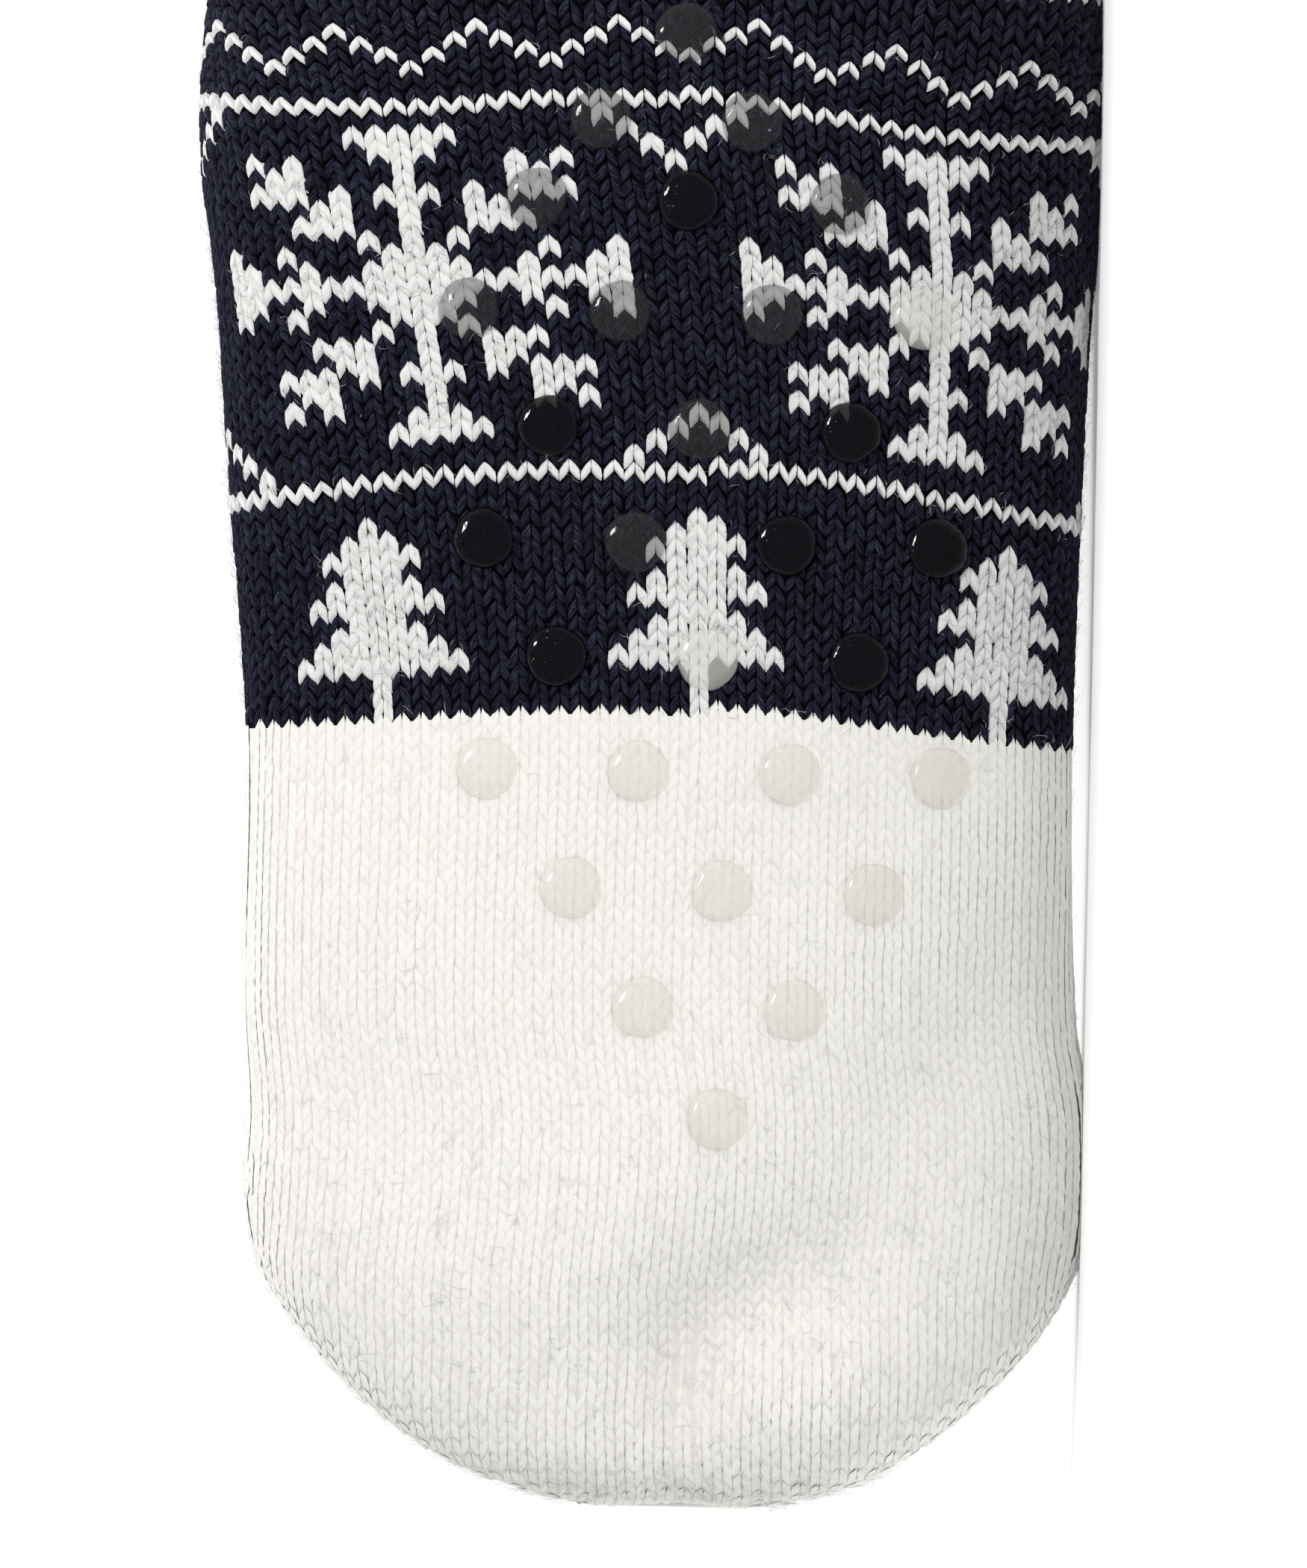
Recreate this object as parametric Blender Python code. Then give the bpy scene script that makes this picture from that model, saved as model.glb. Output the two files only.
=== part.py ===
"""Knitted slipper sock with silicone grip dots under its sole, lying on its side.

The sock is one knitted wall: toe, sole, instep, heel pocket and leg run into each
other, and a thicker ribbed cuff ends it. It lies on its side, as a sock keeps its
worn shape: the toe points to -X, the heel to +X, the sole faces -Y, the leg goes
to +Y, and one side of the foot, the heel and the cuff touch the floor at z = 0.

Shape lengths are measured in the sock's own directions: along from the toe end,
rise from the plane of the sole, and across from the floor up.
"""

import math
from collections import namedtuple

import bmesh
import bpy
import numpy as np
from mathutils import Vector
from mathutils.bvhtree import BVHTree

# Driving sizes, in metres
FOOT_LENGTH = 0.235
FOOT_WIDTH = 0.109
TOE_HEIGHT = 0.031
INSTEP_HEIGHT = 0.056
ANKLE_HEIGHT = 0.100
SOCK_HEIGHT = 0.190
LEG_DEPTH = 0.083
LEG_WIDTH = 0.086
CUFF_HEIGHT = 0.045
CUFF_STEP = 0.0014
WALL = 0.003
SIDE_FLAT = 0.0012

# Grip dots
DOT_DIAMETER = 0.0072
DOT_HEIGHT = 0.0012
DOT_PITCH = 0.0181
DOT_GAP = 0.0003

# Squareness of a section: 2 is an ellipse, more is squarer
SOLE_POWER = 2.5
TOP_POWER = 2.15
# Share of a section's depth, up from the sole, where it is widest
WIDEST_SHARE = 0.42

# Mesh fineness
RING_POINTS = 40
STEPS_PER_SECTION = 2
OUTLINE_POINTS = 240
DOT_SIDES = 12

Section = namedtuple("Section", "sole_along sole_rise front_along front_rise half_width middle")

# Foot, toe end first. along: share of FOOT_LENGTH. width and middle: shares of
# FOOT_WIDTH. sole and top: shares of TOE_HEIGHT.
FootRow = namedtuple("FootRow", "along width middle sole top")
FOOT_ROWS = (
    FootRow(along=0.000, width=0.270, middle=0.461, sole=0.37, top=0.56),
    FootRow(along=0.007, width=0.390, middle=0.459, sole=0.25, top=0.70),
    FootRow(along=0.021, width=0.490, middle=0.462, sole=0.15, top=0.81),
    FootRow(along=0.047, width=0.645, middle=0.465, sole=0.075, top=0.90),
    FootRow(along=0.081, width=0.790, middle=0.465, sole=0.03, top=0.955),
    FootRow(along=0.115, width=0.888, middle=0.468, sole=0.008, top=0.98),
    FootRow(along=0.153, width=0.938, middle=0.464, sole=0.000, top=0.99),
    FootRow(along=0.200, width=0.932, middle=0.465, sole=0.000, top=0.99),
    FootRow(along=0.255, width=0.919, middle=0.480, sole=0.000, top=1.00),
    FootRow(along=0.400, width=0.913, middle=0.488, sole=0.000, top=1.03),
    FootRow(along=0.520, width=0.943, middle=0.498, sole=0.000, top=1.32),
)

# Heel turn: sections swing about the front of the ankle. sole: share of
# FOOT_LENGTH. sole_rise: share of ANKLE_HEIGHT. climb: share of the way from
# the instep to the ankle. width and middle: shares of FOOT_WIDTH.
HeelRow = namedtuple("HeelRow", "sole sole_rise front climb width middle")
HEEL_ROWS = (
    HeelRow(sole=0.640, sole_rise=0.00, front=0.598, climb=0.00, width=0.972, middle=0.504),
    HeelRow(sole=0.735, sole_rise=0.01, front=0.613, climb=0.17, width=1.008, middle=0.505),
    HeelRow(sole=0.825, sole_rise=0.06, front=0.622, climb=0.32, width=1.012, middle=0.506),
    HeelRow(sole=0.908, sole_rise=0.18, front=0.628, climb=0.46, width=0.985, middle=0.500),
    HeelRow(sole=0.967, sole_rise=0.36, front=0.629, climb=0.59, width=0.920, middle=0.488),
    HeelRow(sole=0.996, sole_rise=0.58, front=0.628, climb=0.71, width=0.860, middle=0.473),
)

# Leg. climb: share of the way from the ankle to the top. depth: share of
# LEG_DEPTH. width and middle: shares of LEG_WIDTH, and the middle sinks to the
# floor side on the way up.
LegRow = namedtuple("LegRow", "climb depth width middle")
LEG_ROWS = (
    LegRow(climb=-0.10, depth=1.010, width=1.015, middle=0.580),
    LegRow(climb=0.10, depth=1.005, width=0.990, middle=0.554),
    LegRow(climb=0.30, depth=0.990, width=0.975, middle=0.535),
    LegRow(climb=0.50, depth=1.000, width=0.985, middle=0.525),
    LegRow(climb=0.75, depth=1.020, width=1.005, middle=0.520),
    LegRow(climb=1.00, depth=1.035, width=1.020, middle=0.519),
)

# Dots. along: share of FOOT_LENGTH. middle: share of FOOT_WIDTH.
DotRow = namedtuple("DotRow", "along middle count")
DOT_ROWS = (
    DotRow(along=0.201, middle=0.404, count=1),
    DotRow(along=0.257, middle=0.405, count=2),
    DotRow(along=0.317, middle=0.404, count=3),
    DotRow(along=0.377, middle=0.416, count=4),
    DotRow(along=0.435, middle=0.426, count=3),
    DotRow(along=0.494, middle=0.425, count=4),
    DotRow(along=0.552, middle=0.440, count=3),
    DotRow(along=0.611, middle=0.447, count=4),
    DotRow(along=0.668, middle=0.458, count=3),
    DotRow(along=0.709, middle=0.473, count=2),
    DotRow(along=0.754, middle=0.464, count=1),
)

# Dome of a dot, foot to crown: radius and height as shares of its own
DOT_PROFILE = ((1.00, 0.00), (0.96, 0.42), (0.66, 0.86))


def foot_section(row):
    """Section across the foot, square to the sole."""
    return Section(
        sole_along=row.along * FOOT_LENGTH,
        sole_rise=row.sole * TOE_HEIGHT,
        front_along=row.along * FOOT_LENGTH,
        front_rise=row.top * TOE_HEIGHT,
        half_width=row.width * FOOT_WIDTH / 2,
        middle=row.middle * FOOT_WIDTH,
    )


def heel_section(row):
    """Section from the front of the ankle down to the heel pocket."""
    return Section(
        sole_along=row.sole * FOOT_LENGTH,
        sole_rise=row.sole_rise * ANKLE_HEIGHT,
        front_along=row.front * FOOT_LENGTH,
        front_rise=INSTEP_HEIGHT + row.climb * (ANKLE_HEIGHT - INSTEP_HEIGHT),
        half_width=row.width * FOOT_WIDTH / 2,
        middle=row.middle * FOOT_WIDTH,
    )


def leg_section(row):
    """Level section around the leg."""
    leg_front = HEEL_ROWS[-1].front * FOOT_LENGTH
    depth_middle = leg_front + LEG_DEPTH / 2
    half_depth = row.depth * LEG_DEPTH / 2
    rise = ANKLE_HEIGHT + row.climb * (SOCK_HEIGHT - ANKLE_HEIGHT)
    return Section(
        sole_along=depth_middle + half_depth,
        sole_rise=rise,
        front_along=depth_middle - half_depth,
        front_rise=rise,
        half_width=row.width * LEG_WIDTH / 2,
        middle=row.middle * LEG_WIDTH,
    )


def all_sections():
    """Every section of the tables, from the toe end to the top of the leg."""
    foot = [foot_section(row) for row in FOOT_ROWS]
    heel = [heel_section(row) for row in HEEL_ROWS]
    leg = [leg_section(row) for row in LEG_ROWS]
    return np.array(foot + heel + leg)


def section_at(sections, place):
    """Section at a place counted in table rows, on a smooth curve through them."""
    last = len(sections) - 1
    index = min(int(place), last - 1)
    share = place - index
    steps = np.linalg.norm(np.diff(sections[:, :4], axis=0), axis=1)
    start, end = sections[index], sections[index + 1]
    slopes = []
    for row in (index, index + 1):
        before, after = max(row - 1, 0), min(row + 1, last)
        run = steps[before:after].sum()
        slopes.append((sections[after] - sections[before]) / run * steps[index])
    smooth = share * share * (3 - 2 * share)
    blend = start + (end - start) * smooth
    blend = blend + slopes[0] * share * (1 - share) ** 2
    return blend - slopes[1] * share * share * (1 - share)


def cuff_section(section):
    """The section pushed out by the cuff's step."""
    sole_along, sole_rise, front_along, front_rise, half_width, middle = section
    return np.array((
        sole_along + CUFF_STEP,
        sole_rise,
        front_along - CUFF_STEP,
        front_rise,
        half_width + CUFF_STEP,
        middle,
    ))


def power_wave(value, power):
    """Sine or cosine of a superellipse."""
    return np.sign(value) * np.abs(value) ** (2 / power)


def ring(section, count=RING_POINTS):
    """Points evenly spaced around a section, starting at the middle of the sole."""
    sole_along, sole_rise, front_along, front_rise, half_width, middle = section
    sole = np.array((sole_along, sole_rise))
    front = np.array((front_along, front_rise))
    centre = sole + WIDEST_SHARE * (front - sole)
    turns = np.linspace(0, 2 * np.pi, OUTLINE_POINTS, endpoint=False)
    below = np.cos(turns) > 0
    power = np.where(below, SOLE_POWER, TOP_POWER)
    reach = power_wave(np.cos(turns), power)[:, None]
    depth = np.where(below[:, None], (sole - centre) * reach, (centre - front) * reach)
    flat = centre + depth
    across = middle + half_width * power_wave(np.sin(turns), power)
    across = np.maximum(across - SIDE_FLAT, 0)
    outline = np.column_stack((flat, across))
    closed = np.vstack((outline, outline[:1]))
    lengths = np.concatenate(((0,), np.cumsum(np.linalg.norm(np.diff(closed, axis=0), axis=1))))
    stops = np.arange(count) / count * lengths[-1]
    return np.column_stack([np.interp(stops, lengths, closed[:, axis]) for axis in range(3)])


def sock_rings():
    """Rings of the outer surface, toe end first, with the cuff's step."""
    sections = all_sections()
    places = np.arange((len(sections) - 1) * STEPS_PER_SECTION + 1) / STEPS_PER_SECTION
    cuff_start = SOCK_HEIGHT - CUFF_HEIGHT
    plain = []
    cuff = []
    for place in places:
        section = section_at(sections, place)
        if section[1] < cuff_start - CUFF_STEP:
            plain.append(section)
        elif section[1] > cuff_start + 2 * CUFF_STEP:
            cuff.append(cuff_section(section))
    edge = plain[-1].copy()
    edge[[1, 3]] = cuff_start
    step = cuff_section(edge)
    step[[1, 3]] = cuff_start + CUFF_STEP
    return [ring(section) for section in plain + [edge, step] + cuff]


def to_part(point):
    """Along, rise and across in the part's directions."""
    along, rise, across = point
    return Vector((along, rise, across))


def material(name, color, roughness):
    """Plain surface of one colour."""
    made = bpy.data.materials.new(name)
    made.use_nodes = True
    shader = made.node_tree.nodes["Principled BSDF"]
    shader.inputs["Base Color"].default_value = (*color, 1)
    shader.inputs["Roughness"].default_value = roughness
    shader.inputs["Metallic"].default_value = 0
    return made


def add_object(name, mesh, finish, parent):
    """Object of a mesh, on its parent."""
    made = bpy.data.objects.new(name, mesh)
    made.data.materials.append(finish)
    made.data.shade_smooth()
    made.parent = parent
    bpy.context.collection.objects.link(made)
    return made


def close_toe(shape, end_ring):
    """Close the end of the toe with a strip between the sole and the top edge."""
    count = len(end_ring)
    half = count // 2
    for index in range(half):
        near, far = end_ring[index], end_ring[index + 1]
        across_far, across_near = end_ring[-index - 1], end_ring[-index]
        corners = dict.fromkeys((near, far, across_far, across_near))
        if len(corners) > 2:
            shape.faces.new(list(corners))


def sock_surface():
    """Outer surface of the sock, closed at the toe and open at the collar."""
    shape = bmesh.new()
    rows = [[shape.verts.new(to_part(point)) for point in points] for points in sock_rings()]
    for row, following in zip(rows, rows[1:]):
        for index in range(RING_POINTS):
            beside = (index + 1) % RING_POINTS
            shape.faces.new((row[index], row[beside], following[beside], following[index]))
    close_toe(shape, rows[0])
    bmesh.ops.recalc_face_normals(shape, faces=shape.faces)
    mesh = bpy.data.meshes.new("knitted_sock")
    shape.to_mesh(mesh)
    shape.free()
    return mesh


def build_sock(parent):
    """The knitted sock: its outer surface, thickened inwards by the wall."""
    navy_wool = material("navy_wool", (0.012, 0.013, 0.022), 0.95)
    sock = add_object("knitted_sock", sock_surface(), navy_wool, parent)
    wall = sock.modifiers.new("wall", "SOLIDIFY")
    wall.thickness = WALL
    wall.offset = -1
    wall.use_even_offset = True
    wall.use_rim = True
    return sock


def sole_point(surface, along, across):
    """Point and outward direction of the sole's surface under a place on it."""
    below = Vector((along, -FOOT_LENGTH, across))
    place, normal, _face, _distance = surface.ray_cast(below, Vector((0, 1, 0)))
    return place, normal


def dot_mesh(surface, along, across):
    """Dome that follows the sole, a gap clear of it."""
    centre, out = sole_point(surface, along, across)
    side = out.orthogonal().normalized()
    other = out.cross(side)
    shape = bmesh.new()

    def raised(radius, turn, height):
        flat = centre + radius * (math.cos(turn) * side + math.sin(turn) * other)
        place, _normal, _face, _distance = surface.ray_cast(flat + out * DOT_DIAMETER, -out)
        return shape.verts.new(place + out * (DOT_GAP + height))

    turns = [2 * np.pi * index / DOT_SIDES for index in range(DOT_SIDES)]
    rows = []
    for radius, height in DOT_PROFILE:
        rows.append([raised(radius * DOT_DIAMETER / 2, turn, height * DOT_HEIGHT) for turn in turns])
    underside = raised(0, 0, 0)
    crown = raised(0, 0, DOT_HEIGHT)
    for index in range(DOT_SIDES):
        beside = (index + 1) % DOT_SIDES
        shape.faces.new((underside, rows[0][beside], rows[0][index]))
        for row, above in zip(rows, rows[1:]):
            shape.faces.new((row[index], row[beside], above[beside], above[index]))
        shape.faces.new((rows[-1][index], rows[-1][beside], crown))
    bmesh.ops.recalc_face_normals(shape, faces=shape.faces)
    mesh = bpy.data.meshes.new("grip_dot")
    shape.to_mesh(mesh)
    shape.free()
    return mesh


def build_dots(sock, parent):
    """Rows of grip dots under the sole."""
    clear_silicone = material("clear_silicone", (0.045, 0.047, 0.055), 0.12)
    surface = BVHTree.FromPolygons(
        [vertex.co for vertex in sock.data.vertices],
        [face.vertices for face in sock.data.polygons],
    )
    dots = []
    for row in DOT_ROWS:
        for place in range(row.count):
            across = row.middle * FOOT_WIDTH + (place - (row.count - 1) / 2) * DOT_PITCH
            mesh = dot_mesh(surface, row.along * FOOT_LENGTH, across)
            dots.append(add_object(f"grip_dot_{len(dots) + 1:02d}", mesh, clear_silicone, parent))
    return dots


def centre_on_floor(parent, pieces):
    """Move the parent so that the whole is centred over the floor and touches it."""
    corners = np.array([vertex.co for piece in pieces for vertex in piece.data.vertices])
    low, high = corners.min(axis=0), corners.max(axis=0)
    middle = (low + high) / 2
    parent.location = (-middle[0], -middle[1], -low[2])


def build():
    """Make the whole sock."""
    for old in list(bpy.data.objects):
        bpy.data.objects.remove(old, do_unlink=True)
    parent = bpy.data.objects.new("sock_frame", None)
    bpy.context.collection.objects.link(parent)
    sock = build_sock(parent)
    dots = build_dots(sock, parent)
    centre_on_floor(parent, [sock] + dots)


build()
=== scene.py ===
"""Looks of the knitted slipper sock: every stitch, the fuzz, the lining and the dots.

The sock's surface is worked out from the same sections as its solid. Wales, which
are columns of stitches, and courses, which are rows of stitches, are laid on it,
and each stitch is two plump legs of yarn that meet in a point towards the cuff.
"""

import math
from collections import namedtuple

import bpy
import numpy as np
from mathutils import Matrix, Vector


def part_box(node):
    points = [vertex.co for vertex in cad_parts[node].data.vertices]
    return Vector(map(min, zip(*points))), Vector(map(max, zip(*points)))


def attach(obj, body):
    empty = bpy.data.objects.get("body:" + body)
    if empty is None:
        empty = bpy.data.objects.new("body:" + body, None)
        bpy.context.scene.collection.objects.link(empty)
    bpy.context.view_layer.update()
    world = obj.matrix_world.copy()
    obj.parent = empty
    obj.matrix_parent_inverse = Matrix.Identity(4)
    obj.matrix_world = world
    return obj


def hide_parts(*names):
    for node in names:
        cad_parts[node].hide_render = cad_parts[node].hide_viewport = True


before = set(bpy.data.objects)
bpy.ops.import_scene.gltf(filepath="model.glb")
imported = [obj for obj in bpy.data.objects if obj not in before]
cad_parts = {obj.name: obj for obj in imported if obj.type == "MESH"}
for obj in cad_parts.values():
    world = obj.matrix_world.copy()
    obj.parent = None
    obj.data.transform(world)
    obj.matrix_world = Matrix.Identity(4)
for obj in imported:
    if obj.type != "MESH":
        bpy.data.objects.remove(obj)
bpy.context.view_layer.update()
chance = np.random.default_rng(7)

# Sizes of the sock's solid, in metres
FOOT_LENGTH = 0.235
FOOT_WIDTH = 0.109
TOE_HEIGHT = 0.031
INSTEP_HEIGHT = 0.056
ANKLE_HEIGHT = 0.100
SOCK_HEIGHT = 0.190
LEG_DEPTH = 0.083
LEG_WIDTH = 0.086
CUFF_HEIGHT = 0.045
CUFF_START = SOCK_HEIGHT - CUFF_HEIGHT
CUFF_STEP = 0.0014
WALL = 0.003
SIDE_FLAT = 0.0012
SOLE_POWER = 2.5
TOP_POWER = 2.15
WIDEST_SHARE = 0.42
DOT_DIAMETER = 0.0072
DOT_HEIGHT = 0.0012
MM = 0.001
SHORTEST_STEP = 1e-7
SHORTEST_VECTOR = 1e-12

# Knitting gauge
WALES = 96
TOE_COURSES = 54
FOOT_COURSES = 52
HEEL_COURSES = 25
LEG_COURSES = 45
CUFF_COURSES = 25
RIM_RISE = 0.1 * MM
RIM_OVERLAP = 0.6 * MM
HEEL_PITCH = 1.75 * MM
FRONT_PITCH = 1.53 * MM
HEEL_HALF_WALES = 32
HEEL_FLAT_WALES = 8
JOG = 1.0 * MM

# Fineness of the sampled surface
PLACES_PER_SECTION = 16
RING_COUNT = 288
OUTLINE_POINTS = 480

FootRow = namedtuple("FootRow", "along width middle sole top")
FOOT_ROWS = (
    FootRow(0.000, 0.170, 0.461, 0.37, 0.56),
    FootRow(0.007, 0.315, 0.459, 0.25, 0.70),
    FootRow(0.021, 0.480, 0.462, 0.15, 0.81),
    FootRow(0.047, 0.645, 0.465, 0.075, 0.90),
    FootRow(0.081, 0.790, 0.465, 0.03, 0.955),
    FootRow(0.115, 0.888, 0.468, 0.008, 0.98),
    FootRow(0.153, 0.938, 0.464, 0.000, 0.99),
    FootRow(0.200, 0.932, 0.465, 0.000, 0.99),
    FootRow(0.255, 0.919, 0.480, 0.000, 1.00),
    FootRow(0.400, 0.913, 0.488, 0.000, 1.03),
    FootRow(0.520, 0.943, 0.498, 0.000, 1.32),
)
HeelRow = namedtuple("HeelRow", "sole sole_rise front climb width middle")
HEEL_ROWS = (
    HeelRow(0.640, 0.00, 0.598, 0.00, 0.972, 0.504),
    HeelRow(0.735, 0.01, 0.613, 0.17, 1.008, 0.505),
    HeelRow(0.825, 0.06, 0.622, 0.32, 1.012, 0.506),
    HeelRow(0.908, 0.18, 0.628, 0.46, 0.985, 0.500),
    HeelRow(0.967, 0.36, 0.629, 0.59, 0.920, 0.488),
    HeelRow(0.996, 0.58, 0.628, 0.71, 0.860, 0.473),
)
LegRow = namedtuple("LegRow", "climb depth width middle")
LEG_ROWS = (
    LegRow(-0.10, 1.010, 1.015, 0.580),
    LegRow(0.10, 1.005, 0.990, 0.554),
    LegRow(0.30, 0.990, 0.975, 0.535),
    LegRow(0.50, 1.000, 0.985, 0.525),
    LegRow(0.75, 1.020, 1.005, 0.520),
    LegRow(1.00, 1.035, 1.020, 0.519),
)

# Where courses lie on the middle of the sole. side_drop, lean and sag say how far a
# course bends back to the toe at the foot's sides, more on one side than the other,
# and between its middle and its sides. Lengths are shares of FOOT_LENGTH.
CourseRow = namedtuple("CourseRow", "course along side_drop lean sag")
COURSE_ROWS = (
    CourseRow(-30.0, 0.175, 0.0000, 0.0000, 0.0000),
    CourseRow(-0.5, 0.4077, 0.0151, 0.0028, 0.0000),
    CourseRow(15.0, 0.5300, 0.0240, 0.0028, -0.0025),
    CourseRow(28.0, 0.6285, 0.0165, 0.0055, 0.0030),
    CourseRow(40.0, 0.7195, 0.0089, 0.0083, 0.0085),
    CourseRow(47.0, 0.7653, 0.0089, 0.0083, 0.0085),
    CourseRow(53.0, 0.8195, 0.0089, 0.0083, 0.0085),
)

# Where the middle wale runs beside the middle of the sole, towards the floor side,
# and how far the wales of the shelf side and the floor side crowd towards it.
# Lengths are shares of FOOT_WIDTH.
WaleRow = namedtuple("WaleRow", "along aside far_squeeze near_squeeze")
WALE_ROWS = (
    WaleRow(0.00, 0.016, 0.000, 0.000),
    WaleRow(0.20, 0.030, -0.003, 0.006),
    WaleRow(0.40, 0.044, -0.006, 0.012),
    WaleRow(0.50, 0.045, -0.003, 0.014),
    WaleRow(0.56, 0.050, -0.004, 0.031),
    WaleRow(0.64, 0.035, 0.008, 0.032),
    WaleRow(0.72, 0.012, 0.036, 0.048),
    WaleRow(0.80, 0.004, 0.030, 0.036),
    WaleRow(0.90, 0.000, 0.000, 0.000),
    WaleRow(1.00, 0.000, 0.000, 0.000),
)

box_low, box_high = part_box("knitted_sock")
TOE_X = box_low[0]
SOLE_Y = box_high[1] - SOCK_HEIGHT


def unit(vectors):
    """Vectors of length one."""
    lengths = np.linalg.norm(vectors, axis=-1, keepdims=True)
    return vectors / np.maximum(lengths, SHORTEST_VECTOR)


def foot_section(row):
    """Section across the foot: sole point, front point, half width and middle."""
    along = row.along * FOOT_LENGTH
    half_width = row.width * FOOT_WIDTH / 2
    return (along, row.sole * TOE_HEIGHT, along, row.top * TOE_HEIGHT, half_width,
            row.middle * FOOT_WIDTH)


def heel_section(row):
    """Section from the front of the ankle down to the heel pocket."""
    front_rise = INSTEP_HEIGHT + row.climb * (ANKLE_HEIGHT - INSTEP_HEIGHT)
    half_width = row.width * FOOT_WIDTH / 2
    return (row.sole * FOOT_LENGTH, row.sole_rise * ANKLE_HEIGHT, row.front * FOOT_LENGTH,
            front_rise, half_width, row.middle * FOOT_WIDTH)


def leg_section(row):
    """Level section around the leg."""
    depth_middle = HEEL_ROWS[-1].front * FOOT_LENGTH + LEG_DEPTH / 2
    half_depth = row.depth * LEG_DEPTH / 2
    rise = ANKLE_HEIGHT + row.climb * (SOCK_HEIGHT - ANKLE_HEIGHT)
    half_width = row.width * LEG_WIDTH / 2
    return (depth_middle + half_depth, rise, depth_middle - half_depth, rise, half_width,
            row.middle * LEG_WIDTH)


def section_at(sections, place):
    """Section at a place counted in table rows, on a smooth curve through them."""
    last = len(sections) - 1
    index = min(int(place), last - 1)
    share = place - index
    steps = np.linalg.norm(np.diff(sections[:, :4], axis=0), axis=1)
    start, end = sections[index], sections[index + 1]
    slopes = []
    for row in (index, index + 1):
        before, after = max(row - 1, 0), min(row + 1, last)
        run = steps[before:after].sum()
        slopes.append((sections[after] - sections[before]) / run * steps[index])
    smooth = share * share * (3 - 2 * share)
    blend = start + (end - start) * smooth
    blend = blend + slopes[0] * share * (1 - share) ** 2
    return blend - slopes[1] * share * share * (1 - share)


def power_wave(value, power):
    """Sine or cosine of a superellipse."""
    return np.sign(value) * np.abs(value) ** (2 / power)


def ring(section, count):
    """Points evenly spaced around a section, starting at the middle of the sole."""
    sole_along, sole_rise, front_along, front_rise, half_width, middle = section
    cuff_share = np.clip((sole_rise - CUFF_START) / CUFF_STEP, 0, 1)
    step = CUFF_STEP * cuff_share
    sole = np.array((sole_along + step, sole_rise))
    front = np.array((front_along - step, front_rise))
    centre = sole + WIDEST_SHARE * (front - sole)
    turns = np.linspace(0, 2 * np.pi, OUTLINE_POINTS, endpoint=False)
    below = np.cos(turns) > 0
    power = np.where(below, SOLE_POWER, TOP_POWER)
    reach = power_wave(np.cos(turns), power)[:, None]
    depth = np.where(below[:, None], (sole - centre) * reach, (centre - front) * reach)
    flat = centre + depth
    across = middle + (half_width + step) * power_wave(np.sin(turns), power)
    across = np.maximum(across - SIDE_FLAT, 0)
    outline = np.column_stack((flat, across))
    closed = np.vstack((outline, outline[:1]))
    lengths = np.concatenate(((0,), np.cumsum(np.linalg.norm(np.diff(closed, axis=0), axis=1))))
    stops = np.arange(count) / count * lengths[-1]
    points = np.column_stack([np.interp(stops, lengths, closed[:, axis]) for axis in range(3)])
    return points + (TOE_X, SOLE_Y, 0), lengths[-1]


# Soft troughs and ridges of the toe. along and across: shares of FOOT_LENGTH and
# FOOT_WIDTH from the toe end and the floor. long and wide: reach of the form.
# turn: degrees of its long way from the foot's length. rise: out of the surface.
Fold = namedtuple("Fold", "along across long wide turn rise")
FOLDS = (
    Fold(along=0.103, across=0.365, long=0.078, wide=0.040, turn=-60, rise=-4.0 * MM),
    Fold(along=0.046, across=0.430, long=0.046, wide=0.024, turn=0, rise=-2.4 * MM),
    Fold(along=0.054, across=0.285, long=0.045, wide=0.042, turn=-15, rise=2.2 * MM),
    Fold(along=0.150, across=0.530, long=0.090, wide=0.055, turn=-60, rise=1.3 * MM),
    Fold(along=0.215, across=0.165, long=0.080, wide=0.040, turn=-35, rise=-1.4 * MM),
    Fold(along=0.270, across=0.290, long=0.080, wide=0.050, turn=-35, rise=0.6 * MM),
    Fold(along=0.385, across=0.160, long=0.035, wide=0.050, turn=20, rise=-0.5 * MM),
    Fold(along=0.300, across=0.660, long=0.140, wide=0.070, turn=-20, rise=0.6 * MM),
    Fold(along=0.200, across=0.800, long=0.060, wide=0.040, turn=40, rise=-0.6 * MM),
)


# Where the surface faces the sole by more than 1 / SOLE_FACING, folds are at their full
SOLE_FACING = 1.6


def fold_lift(points, normals):
    """How far the folds push sole points out."""
    lift = np.zeros(points.shape[:-1])
    along = (points[..., 0] - TOE_X) / FOOT_LENGTH
    across = points[..., 2] / FOOT_WIDTH
    for fold in FOLDS:
        turn = math.radians(fold.turn)
        right = (along - fold.along) * FOOT_LENGTH
        up = (across - fold.across) * FOOT_WIDTH
        down_way = (right * math.cos(turn) + up * math.sin(turn)) / (fold.long * FOOT_LENGTH)
        side_way = (up * math.cos(turn) - right * math.sin(turn)) / (fold.wide * FOOT_LENGTH)
        lift += fold.rise * np.exp(-down_way ** 2 - side_way ** 2)
    facing_sole = np.clip(-normals[..., 1] * SOLE_FACING, 0, 1)
    return lift * facing_sole


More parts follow.
